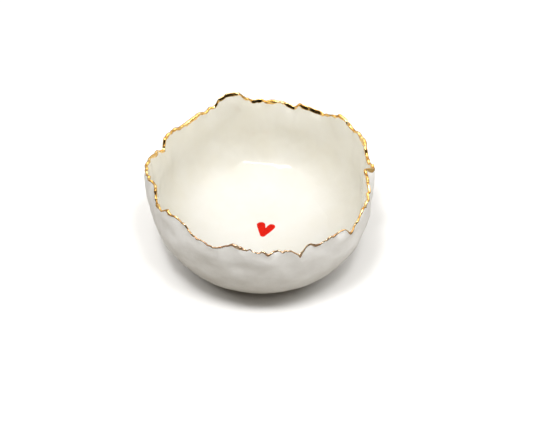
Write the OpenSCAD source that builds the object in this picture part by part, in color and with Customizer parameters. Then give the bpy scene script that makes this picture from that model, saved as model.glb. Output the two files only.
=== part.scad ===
/* [Bowl] */
// Radius of the glazed bowl at its widest
belly_r = 40; // [37:0.5:43]
// Height of the widest part above the foot
belly_h = 31; // [30:0.5:33]
// Radius of the flat foot
foot_r = 23; // [20:0.5:24]
// Thickness of the clay at the torn edge
edge_t = 0.8; // [0.6:0.1:1.4]
// Thickness of the glazed wall at the widest part
wall_t = 3; // [2.5:0.1:3.6]
// Height of the glazed floor above the table
floor_h = 5; // [4.4:0.1:6]
// How far the bowl bulges on its fuller side
bulge = 0.8; // [0:0.1:1]
// Height of the tears, as a share of the drawn tear line
tear_scale = 1; // [0.6:0.05:1.1]
/* [Glaze] */
// Thickness of the glossy glaze inside
lining_t = 0.25; // [0.2:0.05:0.35]
// Thickness of the satin glaze outside
coat_t = 0.2; // [0.15:0.05:0.3]
// Height above the table at which the outside glaze starts
coat_start = 2; // [1.5:0.5:4]
/* [Gold edge] */
// Thickness of the gold on the torn edge
gold_t = 0.25; // [0.25:0.05:0.4]
// How far the gold runs down each side of the edge
gold_w = 1.1; // [0.8:0.1:1.6]
/* [Heart] */
// Size of the heart, as a share of the drawn strokes
heart_scale = 1; // [0.6:0.1:1.2]
// Thickness of the red enamel
heart_t = 0.3; // [0.2:0.05:0.5]
// Place of the heart on the floor, to the right of the middle
heart_x = 2; // [0:0.5:2]
// Place of the heart on the floor, behind the middle
heart_y = 1.5; // [0:0.5:2]
/* [Hidden] */

// Columns of facets round the bowl, and rows up the outside and the inside wall
columns = 120;
outer_rows = 6;
inner_rows = 7;
// Squareness of the hollow: 2 is an ellipse, more gives a flatter floor and steeper walls
hollow_power = 3;
// Radius of the dead flat middle of the floor, which carries the heart
flat_r = 9;
// Radius of the hollow's lowest curved ring, and how much its rows grow towards the edge
first_r = 16;
row_growth = 1.7;
// Height over which the wall turns under to the foot
turn_h = 5;
// Height above the table at which the wall starts to lean with its edge
lean_start = 14;
// Distance below the edge over which the wall thins out
thin_h = 12;
// Middle of the bulge and how far round it reaches, as azimuths, and the height at which it is full
bulge_at = 325;
bulge_reach = 75;
bulge_h = 10;
// How far the clay reaches below the table before the foot is ground flat
grind = 0.5;
// Height of the narrow band between the foot and the first full ring of the wall
foot_band = 0.8;
// Room round the bowl in the block that grinds its foot
grind_room = 10;

// Torn edge: azimuth, and height above the widest part
TEAR_LINE = [
    [0, 3.5], [9, 1.5], [15, 1], [17, 3], [23, 4.5], [28, 4.5], [33, 3.5], [38, 5], [44, 5.5],
    [47, 4.5], [51, 3], [54, 2], [60, 3], [70, 3], [71, 1.5], [74, 2], [76, 3], [90, 3],
    [95, 3.5], [99, 5], [102, 7.5], [109, 7], [113, 6], [114, 4], [117, 3], [120, 2], [126, 3.5],
    [130, 2], [133, 1], [138, 1.5], [146, 2.5], [152, 2.5], [155, -1], [158, 0.5], [162, 2],
    [171, 3], [180, 4], [188, 5], [198, 7.5], [202, 7], [208, 4.5], [213, 4.5], [218, 6.5],
    [228, 6.5], [232, 6], [235, 4.5], [243, 3], [249, 2.5], [252, 3], [257, 5], [262, 3.5],
    [270, 3], [273, 2.5], [279, 3], [283, 2.5], [287, 0.5], [289, 1], [292, 2.5], [295, 3],
    [297, 2], [307, 3.5], [312, 3], [316, 0.5], [322, 1.5], [328, 3.5], [339, 4.5], [345, 6],
    [357, 5.5], [360, 3.5]
];
// Lean of the edge: azimuth, and how far the edge stands outside the widest radius
LEAN_LINE = [
    [0, -0.7], [9, -1.3], [17, -0.6], [23, -0.1], [90, -0.2], [135, -0.5], [155, -1.3],
    [165, -0.9], [180, -0.2], [198, -2.1], [205, -1.1], [211, -0.4], [218, -1], [230, -1],
    [236, -0.2], [250, 0.1], [257, -0.5], [262, 0], [287, 0.6], [295, 0], [318, 0.8], [332, 0],
    [338, -0.7], [343, -1.6], [348, -2.9], [352, -3.5], [357, -3.6], [360, -0.7]
];
// Ends of the heart's two strokes, and how wide each end is
LEFT_LOBE = [-1.8, 2.4];
RIGHT_LOBE = [2, 1.3];
HEART_TIP = [-1.2, -2.8];
left_lobe_r = 1.5;
right_lobe_r = 1.35;
tip_r = 1.1;

hollow_r = belly_r - wall_t;
hollow_d = belly_h - floor_h;

// Height of the torn edge at azimuth a
function edge_h(a) = belly_h + tear_scale * lookup(a, TEAR_LINE);
// Height at which the gold starts, on both sides of the edge
function gold_h(a) = edge_h(a) - gold_w;
// Height of the clay under the gold
function clay_h(a) = edge_h(a) - gold_t;

// Radius of the plain round bowl at height z
function ball_r(z) = sqrt(belly_r ^ 2 - (z - belly_h) ^ 2);
// A curve from 0 to 1 as t goes from 0 to 1, flat at both ends
function ease(t) = let (c = min(1, max(0, t))) c * c * (3 - 2 * c);
// Angle between azimuth a and the middle of the bulge, the short way round
function off_bulge(a) = abs((a - bulge_at + 540) % 360 - 180);
// How far the wall bulges at azimuth a and height z
function swell(a, z) = bulge * ease(1 - off_bulge(a) / bulge_reach) * ease(z / bulge_h);
// How far the wall turns under at height z, so that it meets the foot
function turn_under(z) = (ball_r(0) - foot_r) * max(0, 1 - z / turn_h) ^ 2;
// How far the wall leans at azimuth a and height z
function lean(a, z) =
    let (top = edge_h(a), off = belly_r + lookup(a, LEAN_LINE) - ball_r(top) - swell(a, top))
    off * ease((z - lean_start) / (top - lean_start));
// How much the wall has thinned at azimuth a and height z
function thinned(a, z) =
    (wall_t - coat_t - lining_t - edge_t) * max(0, 1 - (edge_h(a) - z) / thin_h) ^ 2;

// Radius of the outside at azimuth a and height z, sunk by d from the glazed outside
function out_r(a, z, d) = ball_r(z) - turn_under(z) + swell(a, z) + lean(a, z) - d;
// Radius of the hollow at azimuth a and height z, sunk by d from the glazed inside
function in_r(a, z, d) =
    let (
        depth = min(1, max(0, (belly_h - z) / (hollow_d + d))),
        below = (hollow_r + d) * (1 - depth ^ hollow_power) ^ (1 / hollow_power),
        above = ball_r(z) - wall_t + d
    )
    (z < belly_h ? below : above) + swell(a, z) + lean(a, z) + thinned(a, z);

function azimuth(i) = 360 * i / columns;
function at(a, r, z) = [r * cos(a), r * sin(a), z];
// A ring of points whose radius and height follow functions of the azimuth
function out_ring(zs, d) =
    [for (i = [0 : columns - 1]) let (a = azimuth(i)) at(a, out_r(a, zs[i], d), zs[i])];
function in_ring(zs, d) =
    [for (i = [0 : columns - 1]) let (a = azimuth(i)) at(a, in_r(a, zs[i], d), zs[i])];
function flat_ring(r, z) = [for (i = [0 : columns - 1]) at(azimuth(i), r, z)];
// The ring below the table that gives the foot its radius where the table cuts the clay
function ground_ring() =
    [for (i = [0 : columns - 1])
        let (a = azimuth(i), above = out_r(a, foot_band, coat_t))
        at(a, foot_r - (above - foot_r) * grind / foot_band, -grind)];

// Heights round the ring that stands at share s between the glaze start and the gold
function outer_zs(s) =
    let (low = acos((belly_h - coat_start) / belly_r))
    [for (i = [0 : columns - 1])
        let (high = acos((belly_h - gold_h(azimuth(i))) / belly_r))
        belly_h - belly_r * cos(low + s * (high - low))];
// Height of the hollow's lowest curved ring, sunk by d
function first_h(d) =
    floor_h - d
    + (hollow_d + d) * (1 - (1 - (first_r / (hollow_r + d)) ^ hollow_power) ^ (1 / hollow_power));
// Heights round the ring that stands at share s between the floor and the gold, sunk by d
function inner_zs(s, d) =
    [for (i = [0 : columns - 1]) first_h(d) + (gold_h(azimuth(i)) - first_h(d)) * s ^ row_growth];
gold_zs = [for (i = [0 : columns - 1]) gold_h(azimuth(i))];
clay_zs = [for (i = [0 : columns - 1]) clay_h(azimuth(i))];

// Rings up the outside wall and up the inside wall, from the glaze start and the floor to the gold
function outside(d) = [for (j = [0 : outer_rows]) out_ring(outer_zs(j / outer_rows), d)];
function inside(d) = [for (j = [0 : inner_rows]) in_ring(inner_zs(j / inner_rows, d), d)];
function reversed(v) = [for (i = [len(v) - 1 : -1 : 0]) v[i]];

// Facets between ring j and the next one, of a stack of n rings
function band(j, n) =
    let (c = columns, k = (j + 1) % n)
    [for (i = [0 : c - 1]) let (e = (i + 1) % c)
        each [[j * c + i, k * c + e, j * c + e], [j * c + i, k * c + i, k * c + e]]];

// A solid wrapped through a loop of rings
module looped(rings) {
    n = len(rings);
    polyhedron(points = [for (r = rings) each r], faces = [for (j = [0 : n - 1]) each band(j, n)]);
}

// A solid wrapped through rings from a middle point below to a middle point above
module capped(rings, low, high) {
    n = len(rings);
    c = columns;
    polyhedron(
        points = concat([for (r = rings) each r], [low, high]),
        faces = concat(
            [for (j = [0 : n - 2]) each band(j, n)],
            [for (i = [0 : c - 1]) [n * c, i, (i + 1) % c]],
            [for (i = [0 : c - 1]) [n * c + 1, (n - 1) * c + (i + 1) % c, (n - 1) * c + i]]
        )
    );
}

// The fired clay, from its ground foot up to the torn edge and down to the floor
module bowl_body() {
    size = 2 * (belly_r + grind_room);
    band_zs = [for (i = [0 : columns - 1]) foot_band];
    color("gainsboro") difference() {
        capped(
            concat(
                [ground_ring(), out_ring(band_zs, coat_t)],
                outside(coat_t),
                [out_ring(clay_zs, coat_t), in_ring(clay_zs, lining_t)],
                reversed(inside(lining_t)),
                [flat_ring(flat_r, floor_h - lining_t)]
            ),
            [0, 0, -grind],
            [0, 0, floor_h - lining_t]
        );
        translate([-size / 2, -size / 2, -grind_room]) cube([size, size, grind_room]);
    }
}

// The glossy lining, from the middle of the floor up to the gold
module inner_glaze() {
    color("ivory") capped(
        concat(
            [flat_ring(flat_r, floor_h - lining_t)],
            inside(lining_t),
            reversed(inside(0)),
            [flat_ring(flat_r, floor_h)]
        ),
        [0, 0, floor_h - lining_t],
        [0, 0, floor_h]
    );
}

// The satin coat, from just above the foot up to the gold
module outer_glaze() {
    color("whitesmoke") looped(concat(outside(0), reversed(outside(coat_t))));
}

// The gold that wraps over the torn edge
module gold_rim() {
    proud = 0.7 * gold_t;
    over_zs = [for (z = clay_zs) z + proud];
    top_zs = [for (z = clay_zs) z + gold_t];
    outer_top = out_ring(clay_zs, coat_t);
    inner_top = in_ring(clay_zs, lining_t);
    crown = [for (i = [0 : columns - 1]) (outer_top[i] + inner_top[i]) / 2 + [0, 0, gold_t]];
    color("goldenrod") looped([
        out_ring(gold_zs, coat_t),
        out_ring(gold_zs, coat_t - gold_t),
        out_ring(over_zs, coat_t - proud),
        crown,
        in_ring(over_zs, lining_t - proud),
        in_ring(gold_zs, lining_t - gold_t),
        in_ring(gold_zs, lining_t),
        inner_top,
        outer_top
    ]);
}

// One brush stroke of the heart, from a round end down to the tip
module stroke(end_at, end_r) {
    hull() {
        translate(end_at) circle(r = end_r, $fn = 32);
        translate(HEART_TIP) circle(r = tip_r, $fn = 32);
    }
}

// The painted heart on the flat middle of the floor
module red_heart() {
    color("red") translate([heart_x, heart_y, floor_h]) scale([heart_scale, heart_scale, 1])
        linear_extrude(heart_t) {
            stroke(LEFT_LOBE, left_lobe_r);
            stroke(RIGHT_LOBE, right_lobe_r);
        }
}

bowl_body();
inner_glaze();
outer_glaze();
gold_rim();
red_heart();
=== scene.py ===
"""A hand-pinched porcelain trinket dish with a torn gold rim and a small red heart.

The dish is thrown as a plain round bowl, its rim is torn, its wall is pinched, and
then the glazes, the gold and the heart go on. Lengths are in metres.
"""

from __future__ import annotations

import logging
import math
from collections.abc import Callable, Sequence
from dataclasses import dataclass, field
from enum import Enum

import bmesh
import bpy
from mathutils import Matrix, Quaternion, Vector, noise


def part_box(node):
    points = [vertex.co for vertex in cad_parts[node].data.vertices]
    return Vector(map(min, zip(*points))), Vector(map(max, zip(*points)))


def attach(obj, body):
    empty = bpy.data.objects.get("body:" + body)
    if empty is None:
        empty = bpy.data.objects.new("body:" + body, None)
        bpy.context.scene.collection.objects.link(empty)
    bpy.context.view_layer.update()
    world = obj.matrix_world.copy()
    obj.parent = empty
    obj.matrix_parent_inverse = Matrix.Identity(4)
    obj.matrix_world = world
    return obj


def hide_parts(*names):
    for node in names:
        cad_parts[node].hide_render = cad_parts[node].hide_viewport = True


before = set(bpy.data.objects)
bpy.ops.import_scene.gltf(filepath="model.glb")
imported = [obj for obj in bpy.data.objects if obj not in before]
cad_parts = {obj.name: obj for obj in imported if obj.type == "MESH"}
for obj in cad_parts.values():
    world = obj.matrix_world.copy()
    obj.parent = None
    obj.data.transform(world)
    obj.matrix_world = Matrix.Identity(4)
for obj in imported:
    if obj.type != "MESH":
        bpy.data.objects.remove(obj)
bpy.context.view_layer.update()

MM = 0.001
# Vertices nearer to each other than this are merged, and points nearer to the axis are on it.
WELD = 1e-7
ON_AXIS = 1e-6
# Most of a noise pattern lies between these values.
NOISE_SPAN = (0.3, 0.7)
log = logging.getLogger("dish")

Pairs = Sequence[tuple[float, float]]


def ease(t: float) -> float:
    """Return a curve from 0 to 1, flat at both ends, for t from 0 to 1."""
    t = min(1.0, max(0.0, t))
    return t * t * (3 - 2 * t)


def blend(a: float, b: float, t: float) -> float:
    """Return the value at share t of the way from a to b."""
    return a + (b - a) * t


def turn(angle: float) -> float:
    """Return an angle in degrees as the nearest turn from -180 to 180."""
    return (angle + 180) % 360 - 180


def along(pairs: Pairs, a: float) -> float:
    """Read a list of azimuths and values, which closes on itself after 360 degrees.

    Args:
        pairs: Azimuth in degrees and value, in rising order from 0 to 360.
        a: The azimuth wanted, in degrees.

    Returns:
        The value at that azimuth, on straight lines between the pairs.
    """
    a %= 360
    for (a0, v0), (a1, v1) in zip(pairs, pairs[1:]):
        if a <= a1:
            return blend(v0, v1, (a - a0) / (a1 - a0))
    return pairs[-1][1]


@dataclass(frozen=True)
class Ripples:
    """Smooth noise round the rim, the same at 0 and 360 degrees.

    Args:
        size: How far the ripples go to either side of 0, at most.
        grain: How many ripples fit in one radian.
        seed: Height in the noise field, so that ripples of one grain differ.
    """

    size: float
    grain: float
    seed: float

    def at(self, a: float) -> float:
        """Return the ripples' value at an azimuth.

        Args:
            a: Azimuth in degrees.

        Returns:
            The value, from about -size to size.
        """
        t = math.radians(a)
        spot = Vector((math.cos(t) * self.grain, math.sin(t) * self.grain, self.seed))
        return self.size * noise.noise(spot)


@dataclass(frozen=True)
class Lip:
    """A place where the edge is torn thin and slopes down steeply inwards.

    Args:
        at: Azimuth of its middle, in degrees.
        wide: Half its width, in degrees.
        gone: Where it ends, in half widths from its middle.
        fade: How long it takes to end, in half widths.
    """

    at: float
    wide: float
    gone: float = 1.3
    fade: float = 0.6

    def share(self, a: float) -> float:
        """Return how much of the lip stands at an azimuth, from 0 to 1."""
        return ease((self.gone - abs(turn(a - self.at)) / self.wide) / self.fade)


@dataclass(frozen=True)
class Tear:
    """The torn edge's place at one azimuth.

    Args:
        height: Its height above the table, without the finest tears.
        broad_h: That height, smoothed over a few degrees.
        lean: How far it stands outside the widest radius.
        rag_h: How far the finest tears stand above the height.
        rag_r: How far the finest tears stand out of the lean.
        lip: How much of a lip stands there, from 0 to 1.
    """

    height: float
    broad_h: float
    lean: float
    rag_h: float
    rag_r: float
    lip: float


@dataclass
class TornEdge:
    """The torn line of the rim: how high it stands and how far it leans, in millimetres.

    Heights are above the bowl's widest place and leans outside its widest radius.
    """

    belly_h: float = 31 * MM
    soften: float = 0.8
    broad: float = 5
    rag_up: Sequence[Ripples] = (Ripples(0.7 * MM, 17, 3.1), Ripples(0.4 * MM, 40, 7.7))
    rag_out: Sequence[Ripples] = (Ripples(0.7 * MM, 13, 11.3), Ripples(0.2 * MM, 34, 5.2))
    heights: Pairs = (
        (0, 3.5), (9, 1.5), (15, 1), (17, 3), (23, 4.5), (28, 4.5), (33, 3.5), (38, 5),
        (44, 5.5), (47, 4.5), (51, 3), (54, 2), (60, 3), (70, 3), (71, 1.5), (74, 2),
        (76, 3), (90, 3), (95, 3.5), (99, 5), (102, 7.5), (109, 7), (113, 6), (114, 4),
        (117, 3), (120, 2), (126, 3.5), (130, 2), (133, 1), (138, 1.5), (146, 2.5),
        (152, 2.5), (155, -1), (158, 0.5), (162, 2), (171, 3), (180, 4), (188, 5),
        (198, 7.5), (202, 7), (208, 4.5), (213, 4.5), (218, 6.5), (228, 6.5), (232, 6),
        (235, 4.5), (243, 3), (249, 2.5), (252, 3), (257, 5), (262, 3.5), (270, 3),
        (273, 2.5), (279, 3), (284, 2.5), (288.4, -0.2), (290, 1), (292, 2.5), (295, 3),
        (297, 2), (307, 3.5), (312, 3), (316, 0.5), (322, 1.5), (328, 3.5), (339, 4.5),
        (345, 6), (357, 5.5), (360, 3.5),
    )
    leans: Pairs = (
        (0, -0.7), (9, -1.3), (17, -0.6), (23, -0.1), (90, -0.2), (135, -0.5),
        (155, -1.3), (165, -0.9), (180, -0.2), (198, -2.1), (205, -1.1), (211, -0.4),
        (218, -1), (230, -1), (236, -0.2), (250, 0.1), (257, -0.5), (262, 0), (287, 0.6),
        (295, 0), (318, 0.8), (332, 0), (338, -0.7), (343, -1.6), (348, -2.9),
        (352, -3.5), (357, -3.6), (360, -0.7),
    )
    lips: Sequence[Lip] = (Lip(108.5, 6), Lip(92, 3), Lip(72.5, 3.5), Lip(61.5, 6), Lip(37, 1.2))

    def _soft(self, pairs: Pairs, a: float, spread: float) -> float:
        """Return the value of a list at an azimuth, with its corners rounded off."""
        near = (-spread, -spread / 2, 0, spread / 2, spread)
        return sum(along(pairs, a + step) for step in near) / len(near) * MM

    def at(self, a: float) -> Tear:
        """Return the torn edge's place at an azimuth.

        Args:
            a: Azimuth in degrees.

        Returns:
            The place.
        """
        return Tear(
            height=self.belly_h + self._soft(self.heights, a, self.soften),
            broad_h=self.belly_h + self._soft(self.heights, a, self.broad),
            lean=self._soft(self.leans, a, self.soften),
            rag_h=sum(ripples.at(a) for ripples in self.rag_up),
            rag_r=sum(ripples.at(a) for ripples in self.rag_out),
            lip=max(lip.share(a) for lip in self.lips),
        )


@dataclass(frozen=True)
class Pinch:
    """One soft mark that a finger left in the wall.

    Args:
        at: Azimuth of its middle, in degrees.
        height: Height of its middle above the table.
        depth: How far it goes in; a negative one stands out.
        wide: Half its width along the wall.
        tall: Half its height up the wall.
    """

    at: float
    height: float
    depth: float
    wide: float
    tall: float

    def at_point(self, a: float, r: float, z: float) -> float:
        """Return how far the mark moves the wall out at a point, negative inwards.

        Args:
            a: Azimuth of the point, in degrees.
            r: Its radius.
            z: Its height.

        Returns:
            The move, in metres.
        """
        across = math.radians(turn(a - self.at)) * r / self.wide
        up = (z - self.height) / self.tall
        return -self.depth * math.exp(-across * across - up * up)


@dataclass(frozen=True)
class Column:
    """What all points of the wall at one azimuth share.

    Args:
        a: The azimuth in degrees.
        way: The level direction out from the axis.
        tear: The torn edge's place.
        swell: How far the wall swells there.
        thin: How much thinner the edge is there.
        marks: The finger marks that reach it.
    """

    a: float
    way: Vector
    tear: Tear
    swell: float
    thin: float
    marks: Sequence[Pinch]


@dataclass
class Wall:
    """The pinched wall: it turns a plain round bowl into the torn, dented one.

    A name that ends in _r is a radius, _h a height above the table, _t a thickness and
    _start a place where something begins. The edge gets thinner at the front and at its
    lips, and the wall is firm, without dents, near the foot and less dented at the edge.
    """

    edge: TornEdge = field(default_factory=TornEdge)
    belly_r: float = 40 * MM
    belly_h: float = 31 * MM
    foot_r: float = 23 * MM
    wall_t: float = 3 * MM
    edge_t: float = 0.85 * MM
    front_thin: float = 0.35 * MM
    front_start: float = 0.2
    front_fade: float = 0.6
    lip_thin: float = 0.15 * MM
    lip_fall: float = 1.0 * MM
    lip_start: float = 32 * MM
    floor_h: float = 5 * MM
    flat_r: float = 9 * MM
    hollow_power: float = 3
    top: float = 35 * MM
    turn_h: float = 5 * MM
    thin_h: float = 12 * MM
    tear_start: float = 21 * MM
    lean_start: float = 14 * MM
    rag_start: float = 32.5 * MM
    mark_reach: float = 50
    firm_r: float = 14 * MM
    firm_h: float = 8 * MM
    edge_firm: float = 0.6
    broad_lumps: float = 0.4 * MM
    broad_grain: float = 8 * MM
    small_lumps: float = 0.14 * MM
    small_grain: float = 3 * MM
    bulge: float = 0.8 * MM
    bulge_at: float = 325
    bulge_reach: float = 75
    bulge_h: float = 10 * MM
    pinches: Sequence[Pinch] = (
        Pinch(218, 28 * MM, 0.7 * MM, 5 * MM, 4 * MM),
        Pinch(262, 26 * MM, 0.75 * MM, 5 * MM, 4.5 * MM),
        Pinch(272, 30 * MM, -0.4 * MM, 3.5 * MM, 3 * MM),
        Pinch(284, 27 * MM, 0.6 * MM, 5 * MM, 5 * MM),
        Pinch(245, 22 * MM, 0.6 * MM, 7 * MM, 5 * MM),
        Pinch(298, 24 * MM, 0.35 * MM, 6 * MM, 6 * MM),
        Pinch(318, 27 * MM, 0.6 * MM, 5 * MM, 4 * MM),
        Pinch(200, 22 * MM, 0.35 * MM, 6 * MM, 6 * MM),
        Pinch(340, 20 * MM, 0.4 * MM, 7 * MM, 6 * MM),
        Pinch(20, 24 * MM, 0.5 * MM, 7 * MM, 6 * MM),
        Pinch(48, 26 * MM, -0.4 * MM, 6 * MM, 5 * MM),
        Pinch(68, 25 * MM, 0.6 * MM, 8 * MM, 6 * MM),
        Pinch(92, 22 * MM, 0.8 * MM, 11 * MM, 7 * MM),
        Pinch(112, 27 * MM, -0.5 * MM, 6 * MM, 6 * MM),
        Pinch(132, 24 * MM, 0.6 * MM, 7 * MM, 7 * MM),
        Pinch(158, 23 * MM, 0.5 * MM, 7 * MM, 6 * MM),
        Pinch(176, 26 * MM, -0.35 * MM, 6 * MM, 5 * MM),
    )

    def ball_r(self, z: float) -> float:
        """Return the radius of the plain round bowl at a height."""
        return math.sqrt(self.belly_r**2 - (z - self.belly_h) ** 2)

    def out_r(self, z: float) -> float:
        """Return the radius of the plain outside at a height, turned under at the foot."""
        under = (self.ball_r(0) - self.foot_r) * max(0, 1 - z / self.turn_h) ** 2
        return self.ball_r(z) - under

    def in_r(self, z: float) -> float:
        """Return the radius of the plain hollow at a height.

        Args:
            z: The height.

        Returns:
            The radius.
        """
        thinned = (self.wall_t - self.edge_t) * max(0, 1 - (self.top - z) / self.thin_h) ** 2
        if z >= self.belly_h:
            return self.ball_r(z) - self.wall_t + thinned
        depth = (self.belly_h - z) / (self.belly_h - self.floor_h)
        round_part = (1 - min(1, depth) ** self.hollow_power) ** (1 / self.hollow_power)
        return (self.belly_r - self.wall_t) * round_part + thinned

    def in_h(self, r: float) -> float:
        """Return the height of the plain hollow's floor at a radius.

        Args:
            r: The radius.

        Returns:
            The height.
        """
        share = min(1, r / (self.belly_r - self.wall_t))
        drop = (1 - share**self.hollow_power) ** (1 / self.hollow_power)
        return self.belly_h - (self.belly_h - self.floor_h) * drop

    def swell(self, a: float) -> float:
        """Return how far the wall bulges on the bowl's fuller side."""
        return self.bulge * ease(1 - abs(turn(a - self.bulge_at)) / self.bulge_reach)

    def dent(self, column: Column, r: float, z: float) -> float:
        """Return how far the finger marks move the wall out at a point.

        Args:
            column: The column of the wall that the point is in.
            r: Its radius.
            z: Its height.

        Returns:
            The move, in metres.
        """
        spot = Vector((r * column.way.x, r * column.way.y, z))
        lumps = self.broad_lumps * noise.noise(spot / self.broad_grain)
        lumps += self.small_lumps * noise.noise(spot / self.small_grain)
        return sum(mark.at_point(column.a, r, z) for mark in column.marks) + lumps

    def column(self, a: float) -> Column:
        """Return all that one column of the wall shares.

        Args:
            a: Azimuth in degrees.

        Returns:
            The column.
        """
        t = math.radians(a)
        near = [mark for mark in self.pinches if abs(turn(a - mark.at)) < self.mark_reach]
        way = Vector((math.cos(t), math.sin(t), 0))
        thin = self.front_thin * ease((-math.sin(t) - self.front_start) / self.front_fade)
        return Column(a, way, self.edge.at(a), self.swell(a), thin, near)

    def shape(self, column: Column, r: float, z: float) -> Vector:
        """Move a point of the plain bowl to where the pinched, torn bowl has it.

        Args:
            column: The column of the wall that the point is in.
            r: Radius in the plain bowl.
            z: Height in the plain bowl.

        Returns:
            The point in the pinched bowl.
        """
        tear = column.tear
        torn = ease((z - self.tear_start) / (self.top - self.tear_start))
        rag = ease((z - self.rag_start) / (self.top - self.rag_start))
        new_z = z + (tear.height - self.top) * torn + tear.rag_h * rag
        inner = min(1, max(0, (self.out_r(z) - r) / self.edge_t))
        lip = tear.lip * ease((z - self.lip_start) / (self.top - self.lip_start))
        new_z -= self.lip_fall * inner * lip
        swell = column.swell * ease(new_z / self.bulge_h)
        off = self.belly_r + tear.lean - self.ball_r(tear.broad_h) - column.swell
        off *= ease((new_z - self.lean_start) / (tear.broad_h - self.lean_start))
        off += tear.rag_r * rag
        upper = ease((z - self.belly_h) / (self.top - self.belly_h))
        thin = column.thin * upper * inner - self.lip_thin * lip * (1 - inner)
        new_r = r + self.ball_r(new_z) - self.ball_r(z) + swell + off + thin
        soft = ease((r - self.flat_r) / self.firm_r) * ease(z / self.firm_h)
        new_r += self.dent(column, r, new_z) * soft * (1 - self.edge_firm * upper)
        return column.way * new_r + Vector((0, 0, new_z))


class Steps(Enum):
    """How many columns of faces go round a spun piece."""

    FINE = 900
    BODY = 360
    SMALL = 120


def spun(profile: Sequence[Vector], steps: Steps, closed: bool) -> bmesh.types.BMesh:
    """Spin a profile round the bowl's axis into a closed skin.

    Args:
        profile: Points in the XZ plane, from the axis to the axis or round a loop.
        steps: How many columns of faces go round.
        closed: True if the last point joins the first.

    Returns:
        The spun mesh, its seam and its poles merged and its faces pointing out.
    """
    bm = bmesh.new()
    verts = [bm.verts.new(p) for p in profile]
    ends = verts[1:] + verts[:1] if closed else verts[1:]
    edges = [bm.edges.new(pair) for pair in zip(verts, ends)]
    bmesh.ops.spin(
        bm,
        geom=verts + edges,
        cent=(0, 0, 0),
        axis=(0, 0, 1),
        dvec=(0, 0, 0),
        angle=math.tau,
        steps=steps.value,
        use_merge=True,
        use_duplicate=False,
    )
    bmesh.ops.remove_doubles(bm, verts=bm.verts, dist=WELD)
    bmesh.ops.recalc_face_normals(bm, faces=bm.faces)
    return bm


def moulded(bm: bmesh.types.BMesh, mould: Callable[[Vector], Vector]) -> None:
    """Move every vertex of a mesh to where a mould function puts it."""
    for v in bm.verts:
        v.co = mould(v.co)


def finished(bm: bmesh.types.BMesh, name: str, look: bpy.types.Material) -> bpy.types.Object:
    """Turn a bmesh into a smooth-shaded object at the origin, with one material.

    Args:
        bm: The mesh, which is freed.
        name: Name of the object.
        look: Its material.

    Returns:
        The new object, linked to the scene.
    """
    for face in bm.faces:
        face.smooth = True
    mesh = bpy.data.meshes.new(name)
    bm.to_mesh(mesh)
    bm.free()
    mesh.materials.append(look)
    piece = bpy.data.objects.new(name, mesh)
    bpy.context.scene.collection.objects.link(piece)
    return piece


def placed(piece: bpy.types.Object, node: str, slot: str) -> None:
    """Fix a piece to the dish in place of a CAD node, and report it.

    Args:
        piece: The finished piece.
        node: The CAD node that it stands for.
        slot: The record's material slot that it takes.
    """
    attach(piece, "root")
    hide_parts(node)
    log.info("%s: %d faces, slot %s", piece.name, len(piece.data.polygons), slot)


def stretched(
    tree: bpy.types.NodeTree,
    source: bpy.types.NodeSocket,
    start: float,
    full: float,
    low: float = 0.0,
    high: float = 1.0,
    eased: bool = False,
) -> bpy.types.NodeSocket:
    """Return a value that runs from low to high while its source runs from start to full.

    Args:
        tree: The node tree to work in.
        source: The source value.
        start: The source where the value is low.
        full: The source where the value is high.
        low: The lowest value.
        high: The highest value.
        eased: True if the value runs in a curve that is flat at both ends.

    Returns:
        The value.
    """
    node = tree.nodes.new("ShaderNodeMapRange")
    if eased:
        node.interpolation_type = "SMOOTHSTEP"
    for name, value in (("From Min", start), ("From Max", full), ("To Min", low), ("To Max", high)):
        node.inputs[name].default_value = value
    tree.links.new(source, node.inputs["Value"])
    return node.outputs["Result"]


def joined(
    tree: bpy.types.NodeTree,
    kind: str,
    operation: str,
    *sources: bpy.types.NodeSocket | float | tuple[float, float, float],
) -> bpy.types.Node:
    """Return a maths node with its inputs linked or set, in order.

    Args:
        tree: The node tree to work in.
        kind: The node's type.
        operation: What it does.
        sources: A value to link, or a number or vector to set, for each input.

    Returns:
        The node.
    """
    node = tree.nodes.new(kind)
    node.operation = operation
    for socket, source in zip(node.inputs, sources):
        if isinstance(source, bpy.types.NodeSocket):
            tree.links.new(source, socket)
        else:
            socket.default_value = source
    return node


@dataclass(frozen=True)
class Grain:
    """The grain of a noise pattern.

    Args:
        scale: Ripples per metre.
        detail: How many finer layers lie on it.
        rough: How strong each finer layer is.
    """

    scale: float
    detail: float = 3
    rough: float = 0.5


@dataclass(frozen=True)
class Tone:
    """One colour in a pattern.

    Args:
        at: The pattern's value where the colour is pure.
        colour: The colour.
    """

    at: float
    colour: tuple[float, float, float]


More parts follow.
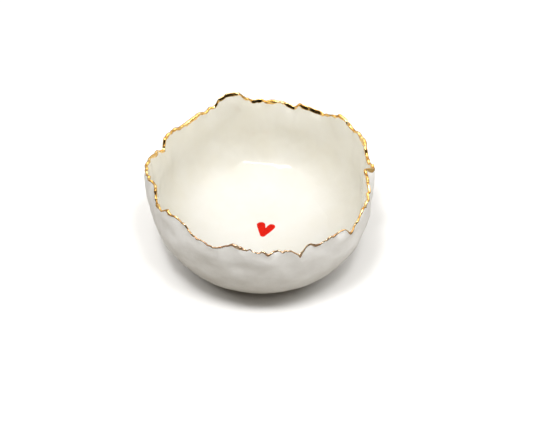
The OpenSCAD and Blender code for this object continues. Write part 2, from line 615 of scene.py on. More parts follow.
class Paint:
    """A material's node tree, with short calls for the nodes that the finishes use."""

    def __init__(self, name: str) -> None:
        """Start a material with a Principled shader and Object coordinates.

        Args:
            name: Name of the material.
        """
        self.material = bpy.data.materials.new(name)
        self.material.use_nodes = True
        self.tree = self.material.node_tree
        self.shader = self.tree.nodes["Principled BSDF"]
        self.coords = self.tree.nodes.new("ShaderNodeTexCoord").outputs["Object"]

    def set(self, **values: float) -> None:
        """Set the shader's own sockets, named with underscores for spaces."""
        for key, value in values.items():
            self.shader.inputs[key.replace("_", " ")].default_value = value

    def noise(self, grain: Grain) -> bpy.types.NodeSocket:
        """Return the value of a noise pattern.

        Args:
            grain: The grain of the pattern.

        Returns:
            The value, from 0 to 1 and mostly near 0.5.
        """
        node = self.tree.nodes.new("ShaderNodeTexNoise")
        node.inputs["Scale"].default_value = grain.scale
        node.inputs["Detail"].default_value = grain.detail
        node.inputs["Roughness"].default_value = grain.rough
        self.tree.links.new(self.coords, node.inputs["Vector"])
        return node.outputs["Fac"]

    def frontness(self, start: float, full: float) -> bpy.types.NodeSocket:
        """Return a share from 0 to 1 that grows along Y, from one place to another.

        Args:
            start: Where it starts to grow.
            full: Where it is 1.

        Returns:
            The share.
        """
        split = self.tree.nodes.new("ShaderNodeSeparateXYZ")
        self.tree.links.new(self.coords, split.inputs["Vector"])
        return stretched(self.tree, split.outputs["Y"], start, full)

    def outwardness(self, start: float, full: float) -> bpy.types.NodeSocket:
        """Return a share from 0 to 1 that grows from one radius to another.

        Args:
            start: Where it starts to grow.
            full: Where it is 1.

        Returns:
            The share.
        """
        kind = "ShaderNodeVectorMath"
        flat = joined(self.tree, kind, "MULTIPLY", self.coords, (1, 1, 0)).outputs["Vector"]
        radius = joined(self.tree, kind, "LENGTH", flat).outputs["Value"]
        return stretched(self.tree, radius, start, full)

    def ramp(self, source: bpy.types.NodeSocket, *tones: Tone) -> bpy.types.NodeSocket:
        """Return a value turned into a colour.

        Args:
            source: The value.
            tones: The colours, in rising order of their values.

        Returns:
            The colour.
        """
        node = self.tree.nodes.new("ShaderNodeValToRGB")
        stems = node.color_ramp.elements
        while len(stems) < len(tones):
            stems.new(0.5)
        for stem, tone in zip(stems, tones):
            stem.position = tone.at
            stem.color = (*tone.colour, 1)
        self.tree.links.new(source, node.inputs["Fac"])
        return node.outputs["Color"]

    def mixed(
        self, share: bpy.types.NodeSocket, a: bpy.types.NodeSocket, b: bpy.types.NodeSocket
    ) -> bpy.types.NodeSocket:
        """Return colour a turned into colour b by a share.

        Args:
            share: How much of colour b shows, from 0 to 1.
            a: The first colour.
            b: The second colour.

        Returns:
            The colour.
        """
        node = self.tree.nodes.new("ShaderNodeMix")
        node.data_type = "RGBA"
        self.tree.links.new(share, node.inputs["Factor"])
        # A mix node's colour sockets come after those for numbers and vectors.
        self.tree.links.new(a, node.inputs[6])
        self.tree.links.new(b, node.inputs[7])
        return node.outputs[2]

    def drive(self, socket: str, source: bpy.types.NodeSocket) -> None:
        """Link a value or colour to one of the shader's sockets."""
        self.tree.links.new(source, self.shader.inputs[socket])

    def uneven(self, source: bpy.types.NodeSocket, smooth: float, rough: float) -> None:
        """Make the roughness run from smooth to rough with a noise pattern."""
        self.drive("Roughness", stretched(self.tree, source, *NOISE_SPAN, smooth, rough))

    def bump(self, source: bpy.types.NodeSocket, depth: float) -> None:
        """Raise the surface by a pattern, on top of earlier bumps.

        Args:
            source: The height, from 0 to 1.
            depth: How far apart 0 and 1 are, in metres.
        """
        node = self.tree.nodes.new("ShaderNodeBump")
        node.inputs["Strength"].default_value = 1
        node.inputs["Distance"].default_value = depth
        self.tree.links.new(source, node.inputs["Height"])
        normal = self.shader.inputs["Normal"]
        if normal.links:
            self.tree.links.new(normal.links[0].from_socket, node.inputs["Normal"])
        self.tree.links.new(node.outputs["Normal"], normal)


@dataclass(frozen=True)
class GlossGlaze:
    """The glossy, warm white glaze that lines the bowl, with a yellower, slightly darker painted
    shade up the wall.
    """

    white: Tone = Tone(0.35, (0.755, 0.75, 0.725))
    pooled: Tone = Tone(0.75, (0.73, 0.715, 0.665))
    # The next two tones are painted shade: the wall's yellower, shaded look, plain and pooled.
    shaded_wall_tone: Tone = Tone(0.35, (0.76, 0.74, 0.665))
    thick: Tone = Tone(0.75, (0.73, 0.70, 0.60))
    clouds: Grain = Grain(90, 4, 0.55)
    wall_shade_start: float = 22 * MM
    wall_shade_full: float = 37 * MM
    gloss: Grain = Grain(160, 2)
    smooth: float = 0.07
    dull: float = 0.12
    waves: Grain = Grain(260)
    wave_h: float = 0.04 * MM

    def build(self) -> bpy.types.Material:
        """Mix the glaze, pooled in places and softly uneven in its gloss.

        Returns:
            The material.
        """
        paint = Paint("gloss_glaze")
        paint.set(Coat_Weight=0.15, Coat_Roughness=0.04, IOR=1.45)
        clouds = paint.noise(self.clouds)
        low = paint.ramp(clouds, self.white, self.pooled)
        # Painted shade: the tones turn yellower up the wall, where the hollow is shaded.
        high = paint.ramp(clouds, self.shaded_wall_tone, self.thick)
        up = paint.outwardness(self.wall_shade_start, self.wall_shade_full)
        paint.drive("Base Color", paint.mixed(up, low, high))
        paint.uneven(paint.noise(self.gloss), self.smooth, self.dull)
        paint.bump(paint.noise(self.waves), self.wave_h)
        return paint.material


@dataclass(frozen=True)
class SatinGlaze:
    """The satin, cool white glaze on the outside."""

    thin: Tone = Tone(0.38, (0.84, 0.83, 0.81))
    white: Tone = Tone(0.62, (0.925, 0.92, 0.905))
    clouds: Grain = Grain(120, 5, 0.6)
    satin: Grain = Grain(400)
    smooth: float = 0.42
    dull: float = 0.56
    waves: Grain = Grain(170, 4, 0.55)
    wave_h: float = 0.3 * MM
    tooth: Grain = Grain(1400, 3, 0.6)
    tooth_h: float = 0.03 * MM

    def build(self) -> bpy.types.Material:
        """Mix the glaze, with a fine tooth and thinner patches.

        Returns:
            The material.
        """
        paint = Paint("satin_glaze")
        paint.set(IOR=1.48)
        paint.drive("Base Color", paint.ramp(paint.noise(self.clouds), self.thin, self.white))
        paint.uneven(paint.noise(self.satin), self.smooth, self.dull)
        paint.bump(paint.noise(self.waves), self.wave_h)
        paint.bump(paint.noise(self.tooth), self.tooth_h)
        return paint.material


@dataclass(frozen=True)
class BareClay:
    """Fired porcelain without glaze, at the foot."""

    grog: Tone = Tone(0.35, (0.47, 0.38, 0.27))
    clay: Tone = Tone(0.6, (0.60, 0.50, 0.38))
    grain: Grain = Grain(1500, 4, 0.65)
    grain_h: float = 0.08 * MM

    def build(self) -> bpy.types.Material:
        """Mix the clay, with a dry, ground grain.

        Returns:
            The material.
        """
        paint = Paint("fired_clay")
        paint.set(Roughness=0.85, IOR=1.45)
        grain = paint.noise(self.grain)
        paint.drive("Base Color", paint.ramp(grain, self.grog, self.clay))
        paint.bump(grain, self.grain_h)
        return paint.material


@dataclass(frozen=True)
class GoldLustre:
    """Fired gold lustre, brushed on by hand, with a painted reflection at the front: rosy, with
    cream glints.
    """

    # The darkest and palest of these tones are partly uneven lustre and partly painted light:
    # painted shade in the brown, painted glints in the pale.
    brown_lustre_and_shade: Tone = Tone(0.34, (0.48, 0.25, 0.07))
    bright: Tone = Tone(0.46, (1.0, 0.61, 0.18))
    pale: Tone = Tone(0.66, (1.0, 0.78, 0.42))
    # The rosy and cream tones are a painted reflection on the front side of the rim.
    rosy: Tone = Tone(0.4, (0.55, 0.33, 0.20))
    cream: Tone = Tone(0.62, (0.98, 0.80, 0.58))
    patches: Grain = Grain(380, 3, 0.6)
    front_reflection_start: float = -20 * MM
    front_reflection_full: float = -36 * MM
    strokes: Grain = Grain(700, 2)
    smooth: float = 0.08
    dull: float = 0.26
    stroke_h: float = 0.06 * MM

    def build(self) -> bpy.types.Material:
        """Mix the gold: uneven lustre with painted shade and glints in it, a painted reflection at
        the front, and an uneven shine.

        Returns:
            The material.
        """
        paint = Paint("gold_lustre")
        paint.set(Metallic=1)
        patches = paint.noise(self.patches)
        # Partly painted light: the brown patches stand for shade and the pale ones for glints, on
        # truly uneven lustre.
        full = paint.ramp(patches, self.brown_lustre_and_shade, self.bright, self.pale)
        # Painted reflection: the front of the rim gets a rosy tint with cream glints.
        front_reflection = paint.ramp(patches, self.rosy, self.cream)
        front = paint.frontness(self.front_reflection_start, self.front_reflection_full)
        paint.drive("Base Color", paint.mixed(front, full, front_reflection))
        strokes = paint.noise(self.strokes)
        paint.uneven(strokes, self.smooth, self.dull)
        paint.bump(strokes, self.stroke_h)
        return paint.material


@dataclass(frozen=True)
class RedEnamel:
    """Glossy red on-glaze enamel."""

    thick: Tone = Tone(0.35, (0.52, 0.006, 0.001))
    red: Tone = Tone(0.6, (0.64, 0.009, 0.001))
    streaks: Grain = Grain(700, 4, 0.6)
    smooth: float = 0.28
    dull: float = 0.42
    streak_h: float = 0.06 * MM

    def build(self) -> bpy.types.Material:
        """Mix the enamel, with brush streaks in colour and relief.

        Returns:
            The material.
        """
        paint = Paint("red_enamel")
        paint.set(Specular_IOR_Level=0.1)
        streaks = paint.noise(self.streaks)
        paint.drive("Base Color", paint.ramp(streaks, self.thick, self.red))
        paint.uneven(streaks, self.smooth, self.dull)
        paint.bump(streaks, self.streak_h)
        return paint.material


@dataclass(frozen=True)
class PaleFloor:
    """The plain pale floor of the studio, which throws back less light than it shows."""

    pale: tuple[float, float, float, float] = (0.98, 0.975, 0.97, 1)
    thrown: tuple[float, float, float, float] = (0.3, 0.275, 0.23, 1)
    near_r: float = 120 * MM
    far_r: float = 350 * MM

    def build(self) -> bpy.types.Material:
        """Mix one matt pale face for the eye and a duller one for bounced light.

        Returns:
            The material.
        """
        material = bpy.data.materials.new("pale_floor")
        material.use_nodes = True
        tree = material.node_tree
        tree.nodes.remove(tree.nodes["Principled BSDF"])
        seen = tree.nodes.new("ShaderNodeLightPath").outputs["Is Camera Ray"]
        mix = tree.nodes.new("ShaderNodeMixShader")
        tree.links.new(seen, mix.inputs["Fac"])
        for slot, colour in ((1, self.thrown), (2, self.pale)):
            matt = tree.nodes.new("ShaderNodeBsdfDiffuse")
            matt.inputs["Color"].default_value = colour
            tree.links.new(matt.outputs["BSDF"], mix.inputs[slot])
        tree.links.new(self.sweep(tree, mix, seen), tree.nodes["Material Output"].inputs["Surface"])
        return material

    def sweep(
        self, tree: bpy.types.NodeTree, near: bpy.types.Node, seen: bpy.types.NodeSocket
    ) -> bpy.types.NodeSocket:
        """Return the floor's shader, turned into an even white far from the dish.

        Args:
            tree: The floor's node tree.
            near: The shader of the floor near the dish.
            seen: 1 where the eye looks at the floor straight.

        Returns:
            The whole floor's shader.
        """
        spot = tree.nodes.new("ShaderNodeTexCoord").outputs["Object"]
        radius = joined(tree, "ShaderNodeVectorMath", "LENGTH", spot).outputs["Value"]
        away = stretched(tree, radius, self.near_r, self.far_r, eased=True)
        share = joined(tree, "ShaderNodeMath", "MULTIPLY", away, seen)
        white = tree.nodes.new("ShaderNodeEmission")
        mix = tree.nodes.new("ShaderNodeMixShader")
        tree.links.new(share.outputs["Value"], mix.inputs["Fac"])
        tree.links.new(near.outputs["Shader"], mix.inputs[1])
        tree.links.new(white.outputs["Emission"], mix.inputs[2])
        return mix.outputs["Shader"]


@dataclass
class Bowl:
    """The clay bowl and the two glazes on it, all shaped by one wall.

    The hollow is drawn as a floor out to the knee and a wall from there up.
    """

    wall: Wall
    lining_t: float = 0.25 * MM
    coat_t: float = 0.2 * MM
    coat_start: float = 2 * MM
    clearance: float = 0.2 * MM
    rows: int = 46
    hidden_rows: int = 12
    knee_r: float = 30 * MM
    knee_rise: float = 8 * MM
    crowding: float = 1.15
    bottom: float = 1 * MM
    tuck: float = 0.1 * MM
    foot_turn: Pairs = ((-0.6, 0), (-0.15, 0.1), (0.35, 0.45))
    columns: dict[float, Column] = field(default_factory=dict)

    def column(self, co: Vector) -> Column:
        """Return the column of the wall that a point is in, worked out once each.

        Args:
            co: The point.

        Returns:
            The column.
        """
        key = round(math.degrees(math.atan2(co.y, co.x)) % 360, 3)
        if key not in self.columns:
            self.columns[key] = self.wall.column(key)
        return self.columns[key]

    def mould(self, co: Vector) -> Vector:
        """Return where a point of the plain bowl goes in the pinched bowl."""
        r = math.hypot(co.x, co.y)
        return self.wall.shape(self.column(co), r, co.z) if r > ON_AXIS else co

    def outside(self, low: float, sunk: float, rows: int) -> list[Vector]:
        """Return the plain outside from a height up to the edge.

        Args:
            low: The lowest height.
            sunk: How far it is sunk into the wall.
            rows: How many rows of faces it gets.

        Returns:
            Its points in the XZ plane, going up.
        """
        wall = self.wall
        a0 = math.acos((wall.belly_h - low) / wall.belly_r)
        a1 = math.acos((wall.belly_h - wall.top) / wall.belly_r)
        heights = [
            wall.belly_h - wall.belly_r * math.cos(blend(a0, a1, j / rows)) for j in range(rows + 1)
        ]
        return [Vector((wall.out_r(z) - sunk, 0, z)) for z in heights]

    def inside(self, sunk: float, rows: int) -> list[Vector]:
        """Return the plain hollow from the middle of the floor up to the edge.

        Args:
            sunk: How far it is sunk into the wall.
            rows: How many rows of faces it gets.

        Returns:
            Its points in the XZ plane, going out and up.
        """
        wall = self.wall
        knee_h = wall.in_h(self.knee_r)
        floor_rows = rows * 2 // 5
        wall_rows = rows - floor_rows
        radii = [self.knee_r * j / floor_rows for j in range(floor_rows)]
        floor_line = [Vector((r, 0, wall.in_h(r) - sunk)) for r in radii]
        wall_line = []
        for j in range(wall_rows + 1):
            z = blend(knee_h, wall.top, (j / wall_rows) ** self.crowding)
            share = ease((z - knee_h) / self.knee_rise)
            wall_line.append(Vector((wall.in_r(z) + sunk * share, 0, z - sunk * (1 - share))))
        return floor_line + wall_line

    def clay(self) -> bpy.types.Object:
        """Build the clay, from its ground foot up to the torn edge and down to the floor.

        Returns:
            The clay.
        """
        foot = self.wall.foot_r
        under = [Vector((0, 0, 0)), Vector((foot / 2, 0, 0))]
        under += [Vector((foot + out * MM, 0, up * MM)) for out, up in self.foot_turn]
        outer = self.outside(self.bottom, self.coat_t + self.clearance / 2, self.hidden_rows)
        inner = self.inside(self.lining_t + self.clearance, self.hidden_rows)
        inner.reverse()
        outer[-1].z -= self.tuck
        inner[0].z -= self.tuck
        bm = spun(under + outer + inner, Steps.BODY, closed=False)
        moulded(bm, self.mould)
        piece = finished(bm, "clay_bowl", BareClay().build())
        placed(piece, "bowl_body", "fired_clay")
        return piece

    def lining(self) -> bpy.types.Object:
        """Build the glossy lining, from the middle of the floor up to the edge.

        Returns:
            The lining.
        """
        back = self.inside(self.lining_t, self.hidden_rows)
        face = self.inside(0, self.rows)
        face.reverse()
        bm = spun(back + face, Steps.FINE, closed=False)
        moulded(bm, self.mould)
        piece = finished(bm, "gloss_lining", GlossGlaze().build())
        placed(piece, "inner_glaze", "gloss_glaze")
        return piece

    def coat(self) -> bpy.types.Object:
        """Build the satin coat, from just above the foot up to the edge.

        Returns:
            The coat.
        """
        face = self.outside(self.coat_start, 0, self.rows)
        back = self.outside(self.coat_start, self.coat_t, self.hidden_rows)
        back.reverse()
        bm = spun(face + back, Steps.FINE, closed=True)
        moulded(bm, self.mould)
        piece = finished(bm, "satin_coat", SatinGlaze().build())
        placed(piece, "outer_glaze", "satin_glaze")
        return piece


class Side(Enum):
    """A side of the rim, as the sign of the way out of the wall."""

    OUTSIDE = 1
    INSIDE = -1


@dataclass(frozen=True)
class Pool:
    """A place where the gold was brushed on wider or thicker.

    Args:
        at: Azimuth of its middle, in degrees.
        wide: Half its width, in degrees.
        side: The side of the rim that it runs down.
        extra: How much further down it runs.
    """

    at: float
    wide: float
    side: Side
    extra: float

    def at_angle(self, a: float) -> float:
        """Return how much further down the gold runs at an azimuth."""
        off = turn(a - self.at) / self.wide
        return self.extra * math.exp(-off * off)


@dataclass
class GoldEdge:
    """The gold that wraps over the torn edge.

    It runs down by drop on the inside and by a share of that on the outside, ends in a
    tucked-in hem, and has small lumps, which are lower on the edge's lips.
    """

    bowl: Bowl
    drop: float = 0.45 * MM
    outer_share: float = 0.45
    least: float = 0.12 * MM
    proud: float = 0.1 * MM
    tuck: float = 0.05 * MM
    hem: float = 0.09 * MM
    hem_h: float = 0.1 * MM
    core_drop: float = 0.15 * MM
    roundness: float = 0.55
    lumps: float = 0.18 * MM
    lump_grain: float = 2.1 * MM
    lump_low: float = 0.3 * MM
    lump_fade: float = 0.5 * MM
    lump_out: float = 0.7
    lip_bare: float = 0.7
    lip_even: float = 0.75
    outer_brush: Sequence[Ripples] = (Ripples(0.9, 9, 21.5), Ripples(0.4, 21, 21.5))
    inner_brush: Sequence[Ripples] = (Ripples(0.9, 9, 33.5), Ripples(0.4, 21, 33.5))
    arc_rows: int = 8
    pools: Sequence[Pool] = (
        Pool(127, 2.5, Side.INSIDE, 0.8 * MM),
        Pool(164, 3, Side.INSIDE, 0.8 * MM),
        Pool(84, 3, Side.INSIDE, 1.0 * MM),
        Pool(44, 3, Side.INSIDE, 0.6 * MM),
        Pool(22, 3.5, Side.INSIDE, 1.2 * MM),
        Pool(3, 2, Side.INSIDE, 1.0 * MM),
        Pool(202, 1.6, Side.OUTSIDE, 0.9 * MM),
        Pool(209, 2.2, Side.OUTSIDE, 1.1 * MM),
        Pool(219, 1.2, Side.OUTSIDE, 1.0 * MM),
        Pool(259, 3, Side.OUTSIDE, 0.8 * MM),
        Pool(273, 1.4, Side.OUTSIDE, 0.8 * MM),
        Pool(288.6, 0.9, Side.OUTSIDE, 1.8 * MM),
        Pool(296, 2, Side.OUTSIDE, 0.8 * MM),
        Pool(316, 1.2, Side.OUTSIDE, 0.7 * MM),
        Pool(332, 1.2, Side.OUTSIDE, 0.9 * MM),
        Pool(358.5, 1.5, Side.OUTSIDE, 1.6 * MM),
    )

    def reach(self, a: float, side: Side) -> float:
        """Return how far down a side of the rim the gold runs at an azimuth.

        Args:
            a: Azimuth in degrees.
            side: The side of the rim.

        Returns:
            The distance down from the edge.
        """
        brush = self.outer_brush if side is Side.OUTSIDE else self.inner_brush
        brushed = self.drop * sum((ripples.at(a) for ripples in brush), start=1.0)
        if side is Side.OUTSIDE:
            brushed *= self.outer_share
        else:
            brushed *= 1 - self.lip_bare * self.bowl.wall.edge.at(a).lip
        pooled = sum(pool.at_angle(a) for pool in self.pools if pool.side is side)
        return max(self.least, brushed) + pooled

    def section(self) -> list[Vector]:
        """Return the plain section of the gold: up the outside, over, and back inside itself.

        Returns:
            The points of the closed section in the XZ plane.
        """
        wall = self.bowl.wall
        outer = wall.out_r(wall.top)
        inner = wall.in_r(wall.top)
        middle = (outer + inner) / 2
        half = (outer - inner) / 2 + self.proud
        low = wall.top - self.drop
        arc = [
            Vector((middle + half * math.cos(t), 0, wall.top + half * self.roundness * math.sin(t)))
            for t in (math.pi * j / self.arc_rows for j in range(self.arc_rows + 1))
        ]
        hem_z = low + self.hem_h
        outside = [Vector((outer - self.tuck, 0, low)), Vector((outer + self.hem, 0, hem_z))]
        inside = [Vector((inner - self.hem, 0, hem_z)), Vector((inner + self.tuck, 0, low))]
        core = [Vector((middle, 0, wall.top - self.core_drop))]
        return outside + arc + inside + core

    def mould(self, co: Vector) -> Vector:
        """Return where a point of the plain gold goes on the torn edge.

        Args:
            co: A point of the plain, spun gold.

        Returns:
            The point on the dish.
        """
        wall = self.bowl.wall
        column = self.bowl.column(co)
        r = math.hypot(co.x, co.y)
        middle = (wall.out_r(wall.top) + wall.in_r(wall.top)) / 2
        side = Side.OUTSIDE if r > middle else Side.INSIDE
        z = co.z
        if z < wall.top:
            z = wall.top - (wall.top - z) * self.reach(column.a, side) / self.drop
        face_r = wall.out_r if side is Side.OUTSIDE else wall.in_r
        spot = wall.shape(column, r + (face_r(z) - face_r(wall.top)), z)
        swell = self.lumps * noise.noise(spot / self.lump_grain)
        swell *= 1 - self.lip_even * column.tear.lip
        spot.z += swell * ease((co.z - wall.top + self.lump_low) / self.lump_fade)
        return spot + column.way * swell * self.lump_out * side.value

    def build(self) -> bpy.types.Object:
        """Build the gold edge.

        Returns:
            The gold edge.
        """
        bm = spun(self.section(), Steps.FINE, closed=True)
        moulded(bm, self.mould)
        piece = finished(bm, "gold_edge", GoldLustre().build())
        placed(piece, "gold_rim", "gold_lustre")
        return piece


@dataclass
class Heart:
    """The heart, painted in two strokes that meet at its tip.

    A stroke's end is its X, its Y and its half width, all in millimetres.
    """

    bowl: Bowl
    thick: float = 0.28 * MM
    soft: float = 0.5 * MM
    left_lobe: tuple[float, float, float] = (-1.8, 2.3, 1.6)
    right_lobe: tuple[float, float, float] = (1.95, 1.3, 1.45)
    tip: tuple[float, float, float] = (-1.2, -2.8, 1.1)
    sink: float = 0.04 * MM
    shift: tuple[float, float] = (-0.09, 0.05)
    wobble: float = 0.12
    wobble_grain: float = 0.9
    wobble_seed: float = 4.0
    brush_h: float = 0.05 * MM
    brush_grain: tuple[float, float] = (2.2, 0.8)
    brush_seed: float = 9.0
    rings: int = 14
    farthest: float = 12.0
    halvings: int = 24

    def stroke(self, lobe: tuple[float, float, float], x: float, y: float) -> float:
        """Return how far a point lies inside one brush stroke, negative outside it.

        Args:
            lobe: The end of the stroke at the top of the heart.
            x: X of the point, in millimetres.
            y: Y of the point, in millimetres.

        Returns:
            The depth inside the stroke, in millimetres.
        """
        dx, dy = self.tip[0] - lobe[0], self.tip[1] - lobe[1]
        length_2 = dx * dx + dy * dy
        t = ((x - lobe[0]) * dx + (y - lobe[1]) * dy) / length_2
        t = min(1.0, max(0.0, t))
        width = blend(lobe[2], self.tip[2], t)
        return width - math.hypot(x - lobe[0] - dx * t, y - lobe[1] - dy * t)

    def inside(self, x: float, y: float) -> float:
        """Return how far a point lies inside the painted heart, in millimetres."""
        wobble = self.wobble * noise.noise(Vector((x, y, self.wobble_seed)) * self.wobble_grain)
        return max(self.stroke(self.left_lobe, x, y), self.stroke(self.right_lobe, x, y)) + wobble

    def outline(self, angle: float) -> float:
        """Return the heart's reach from its tip stroke's middle along an angle.

        Args:
            angle: The angle, in radians.

        Returns:
            The reach, in millimetres.
        """
        near, far = 0.0, self.farthest
        for _ in range(self.halvings):
            half = (near + far) / 2
            x = self.tip[0] + half * math.cos(angle)
            y = self.tip[1] + half * math.sin(angle)
            if self.inside(x, y) > 0:
                near = half
            else:
                far = half
        return near

    def build(self) -> bpy.types.Object:
        """Build the heart on the middle of the floor, where the CAD heart lies.

        Returns:
            The heart.
        """
        low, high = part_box("red_heart")
        centre_x = (low.x + high.x) / 2
        centre_y = (low.y + high.y) / 2
        top = [Vector((j / self.rings, 0, 1)) for j in range(self.rings + 1)]
        under = [Vector((1, 0, 0)), Vector((0, 0, 0))]
        bm = spun(top + under, Steps.SMALL, closed=False)
        reaches: dict[float, float] = {}

        def mould(co: Vector) -> Vector:
            """Return where a point of a plain disc goes in the heart.

            Args:
                co: A point of a disc with a radius of 1, at a height of 0 or 1.

            Returns:
                The point on the floor of the dish.
            """
            share = math.hypot(co.x, co.y)
            angle = round(math.atan2(co.y, co.x), 5) if share > ON_AXIS else 0.0
            if angle not in reaches:
                reaches[angle] = self.outline(angle)
            x = self.tip[0] + share * reaches[angle] * math.cos(angle)
            y = self.tip[1] + share * reaches[angle] * math.sin(angle)
            edge = min(1.0, max(0.0, self.inside(x, y)) * MM / self.soft)
            rise = self.thick * math.sqrt(1 - (1 - edge) ** 2)
            streak = Vector((x * self.brush_grain[0], y * self.brush_grain[1], self.brush_seed))
            brushed = self.brush_h * noise.noise(streak) * edge
            px = centre_x + (x + self.shift[0]) * MM
            py = centre_y + (y + self.shift[1]) * MM
            floor = self.bowl.wall.in_h(math.hypot(px, py)) - self.sink
            return Vector((px, py, floor + (rise + brushed) * co.z))

        moulded(bm, mould)
        bmesh.ops.recalc_face_normals(bm, faces=bm.faces)
        piece = finished(bm, "painted_heart", RedEnamel().build())
        placed(piece, "red_heart", "red_enamel")
        return piece


class Lit(Enum):
    """What a light falls on."""

    ALL = "all"
    FLOOR = "floor_only"
    DISH = "dish_only"


@dataclass(frozen=True)
class Lamp:
    """One soft rectangular light that faces the bowl.

    Args:
        name: Its name.
        at: Its place.
        size: Its width and height.
        power: Its power in watts.
        lit: What it falls on; one that doesn't fall on all shows in no shiny surface.
        glossy: True if shiny surfaces reflect it.
        matt: True if it lights matt surfaces.
        roll: Its turn about the line to the bowl, in degrees.
    """

    name: str
    at: tuple[float, float, float]
    size: tuple[float, float]
    power: float
    lit: Lit = Lit.ALL
    glossy: bool = True
    matt: bool = True
    roll: float = 0


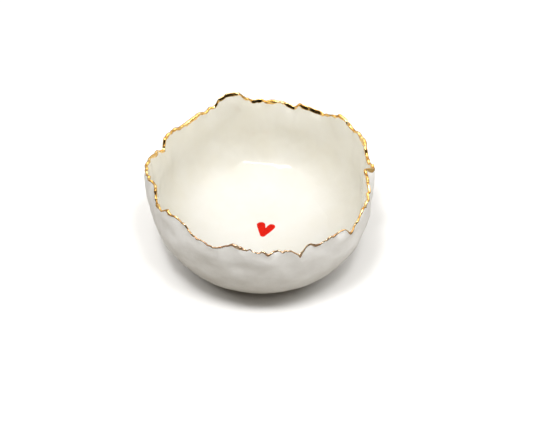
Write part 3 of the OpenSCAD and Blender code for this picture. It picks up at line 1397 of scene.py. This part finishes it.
@dataclass
class Studio:
    """The floor, the lights and the camera.

    The room is a soft light all round, seen from the dish as a ball with a radius of 1:
    dark where Y is under dark_until, full where Y is over room_from, brighter above.
    """

    floor_r: float = 3.0
    floor_sides: int = 64
    distance: float = 450 * MM
    elevation: float = 41
    focal: float = 88.1
    sensor: float = 36
    nearest: float = 10 * MM
    aim: Vector = field(default_factory=lambda: Vector((0, 0, 31 * MM)))
    tilt_down: float = 1.975
    pan_right: float = 0.348
    lamps: Sequence[Lamp] = (
        Lamp("overhead", (-0.09, -0.18, 0.62), (0.15, 0.15), 0.88, glossy=False),
        Lamp("floor_left", (-0.1, -0.2, 0.62), (0.1, 0.1), 0.95, Lit.FLOOR),
        Lamp("floor_right", (0.1, -0.2, 0.6), (0.1, 0.1), 1.1, Lit.FLOOR),
        Lamp("front_soft", (0.02, -0.4, 0.5), (0.4, 0.3), 1.55, Lit.DISH),
        Lamp("right_low", (0.44, -0.26, 0.08), (0.3, 0.12), 0.72, Lit.DISH),
        Lamp("left_low", (-0.5, -0.12, 0.08), (0.3, 0.12), 0.43, Lit.DISH),
        Lamp("back_low", (0, 0.5, 0.1), (0.5, 0.14), 0.7, Lit.DISH),
        Lamp("left_fill", (-0.34, -0.06, 0.5), (0.16, 0.3), 0.65, glossy=False),
        Lamp("right_fill", (0.34, -0.06, 0.5), (0.16, 0.3), 0.75, glossy=False),
        Lamp("window", (-0.02, -0.28, 0.56), (0.46, 0.04), 1.3, matt=False, roll=-12),
    )
    room: float = 0.23
    room_tint: tuple[float, float, float, float] = (1, 0.96, 0.88, 1)
    dark: float = 0.004
    dark_until: float = -0.6
    room_from: float = -0.2
    ceiling: float = 0.6
    ceiling_start: float = 0.6
    ceiling_full: float = 0.95
    gloss_gain: float = 1.9

    def floor(self) -> bpy.types.Object:
        """Lay the floor under the foot.

        Returns:
            The floor.
        """
        bm = bmesh.new()
        bmesh.ops.create_circle(bm, cap_ends=True, segments=self.floor_sides, radius=self.floor_r)
        piece = finished(bm, "floor", PaleFloor().build())
        return piece

    def lights(self, floor: bpy.types.Object) -> None:
        """Hang the lights.

        Args:
            floor: The floor, which some lights fall on alone and others pass by.
        """
        groups = {lit: bpy.data.collections.new(lit.value) for lit in (Lit.FLOOR, Lit.DISH)}
        for group in groups.values():
            group.objects.link(floor)
        groups[Lit.DISH].collection_objects[0].light_linking.link_state = "EXCLUDE"
        for lamp in self.lamps:
            at = Vector(lamp.at)
            bulb = bpy.data.lights.new(lamp.name, "AREA")
            bulb.shape = "RECTANGLE"
            bulb.size, bulb.size_y = lamp.size
            bulb.energy = lamp.power
            holder = bpy.data.objects.new(lamp.name, bulb)
            holder.location = at
            holder.rotation_mode = "QUATERNION"
            spin = Quaternion((0, 0, 1), math.radians(lamp.roll))
            holder.rotation_quaternion = (self.aim - at).to_track_quat("-Z", "Y") @ spin
            holder.visible_glossy = lamp.glossy and lamp.lit is Lit.ALL
            holder.visible_diffuse = lamp.matt
            if lamp.lit is not Lit.ALL:
                holder.light_linking.receiver_collection = groups[lamp.lit]
            bpy.context.scene.collection.objects.link(holder)

    def surround(self) -> None:
        """Set the room: soft light all round, dark in front, and white past the floor's edge."""
        world = bpy.data.worlds.new("soft_light")
        world.use_nodes = True
        tree = world.node_tree
        kind = "ShaderNodeMath"
        way = tree.nodes.new("ShaderNodeSeparateXYZ")
        tree.links.new(tree.nodes.new("ShaderNodeTexCoord").outputs["Generated"], way.inputs[0])
        dark_side = (self.dark_until, self.room_from, self.dark, self.room)
        shade = stretched(tree, way.outputs["Y"], *dark_side, eased=True)
        above = (self.ceiling_start, self.ceiling_full, 0, self.ceiling)
        ceiling = stretched(tree, way.outputs["Z"], *above, eased=True)
        both = joined(tree, kind, "ADD", shade, ceiling).outputs["Value"]
        rays = tree.nodes.new("ShaderNodeLightPath").outputs
        gain = joined(tree, kind, "MULTIPLY_ADD", rays["Is Glossy Ray"], self.gloss_gain, 1)
        strength = joined(tree, kind, "MULTIPLY", both, gain.outputs["Value"])
        dim = tree.nodes["Background"]
        dim.inputs["Color"].default_value = self.room_tint
        tree.links.new(strength.outputs["Value"], dim.inputs["Strength"])
        pale = tree.nodes.new("ShaderNodeBackground")
        pale.inputs["Color"].default_value = (1, 1, 1, 1)
        mix = tree.nodes.new("ShaderNodeMixShader")
        tree.links.new(rays["Is Camera Ray"], mix.inputs["Fac"])
        tree.links.new(dim.outputs["Background"], mix.inputs[1])
        tree.links.new(pale.outputs["Background"], mix.inputs[2])
        tree.links.new(mix.outputs["Shader"], tree.nodes["World Output"].inputs["Surface"])
        bpy.context.scene.world = world

    def camera(self) -> None:
        """Set up the camera in front of the bowl and above it."""
        e = math.radians(self.elevation)
        back = Vector((0, -math.cos(e), math.sin(e)))
        lens = bpy.data.cameras.new("camera")
        lens.lens = self.focal
        lens.sensor_width = self.sensor
        lens.clip_start = self.nearest
        holder = bpy.data.objects.new("camera", lens)
        holder.location = self.aim + back * self.distance
        holder.rotation_euler = (
            math.radians(90 - self.elevation - self.tilt_down),
            0,
            math.radians(-self.pan_right),
        )
        bpy.context.scene.collection.objects.link(holder)
        bpy.context.scene.camera = holder
        bpy.context.scene.view_settings.view_transform = "Standard"

    def build(self) -> None:
        """Set up the whole studio."""
        self.lights(self.floor())
        self.surround()
        self.camera()


def main() -> None:
    """Build the dish and its studio."""
    logging.basicConfig(level=logging.INFO, format="%(name)s: %(message)s")
    Studio().build()
    bowl = Bowl(Wall())
    bowl.clay()
    bowl.lining()
    bowl.coat()
    GoldEdge(bowl).build()
    Heart(bowl).build()


if __name__ == "__main__":
    main()
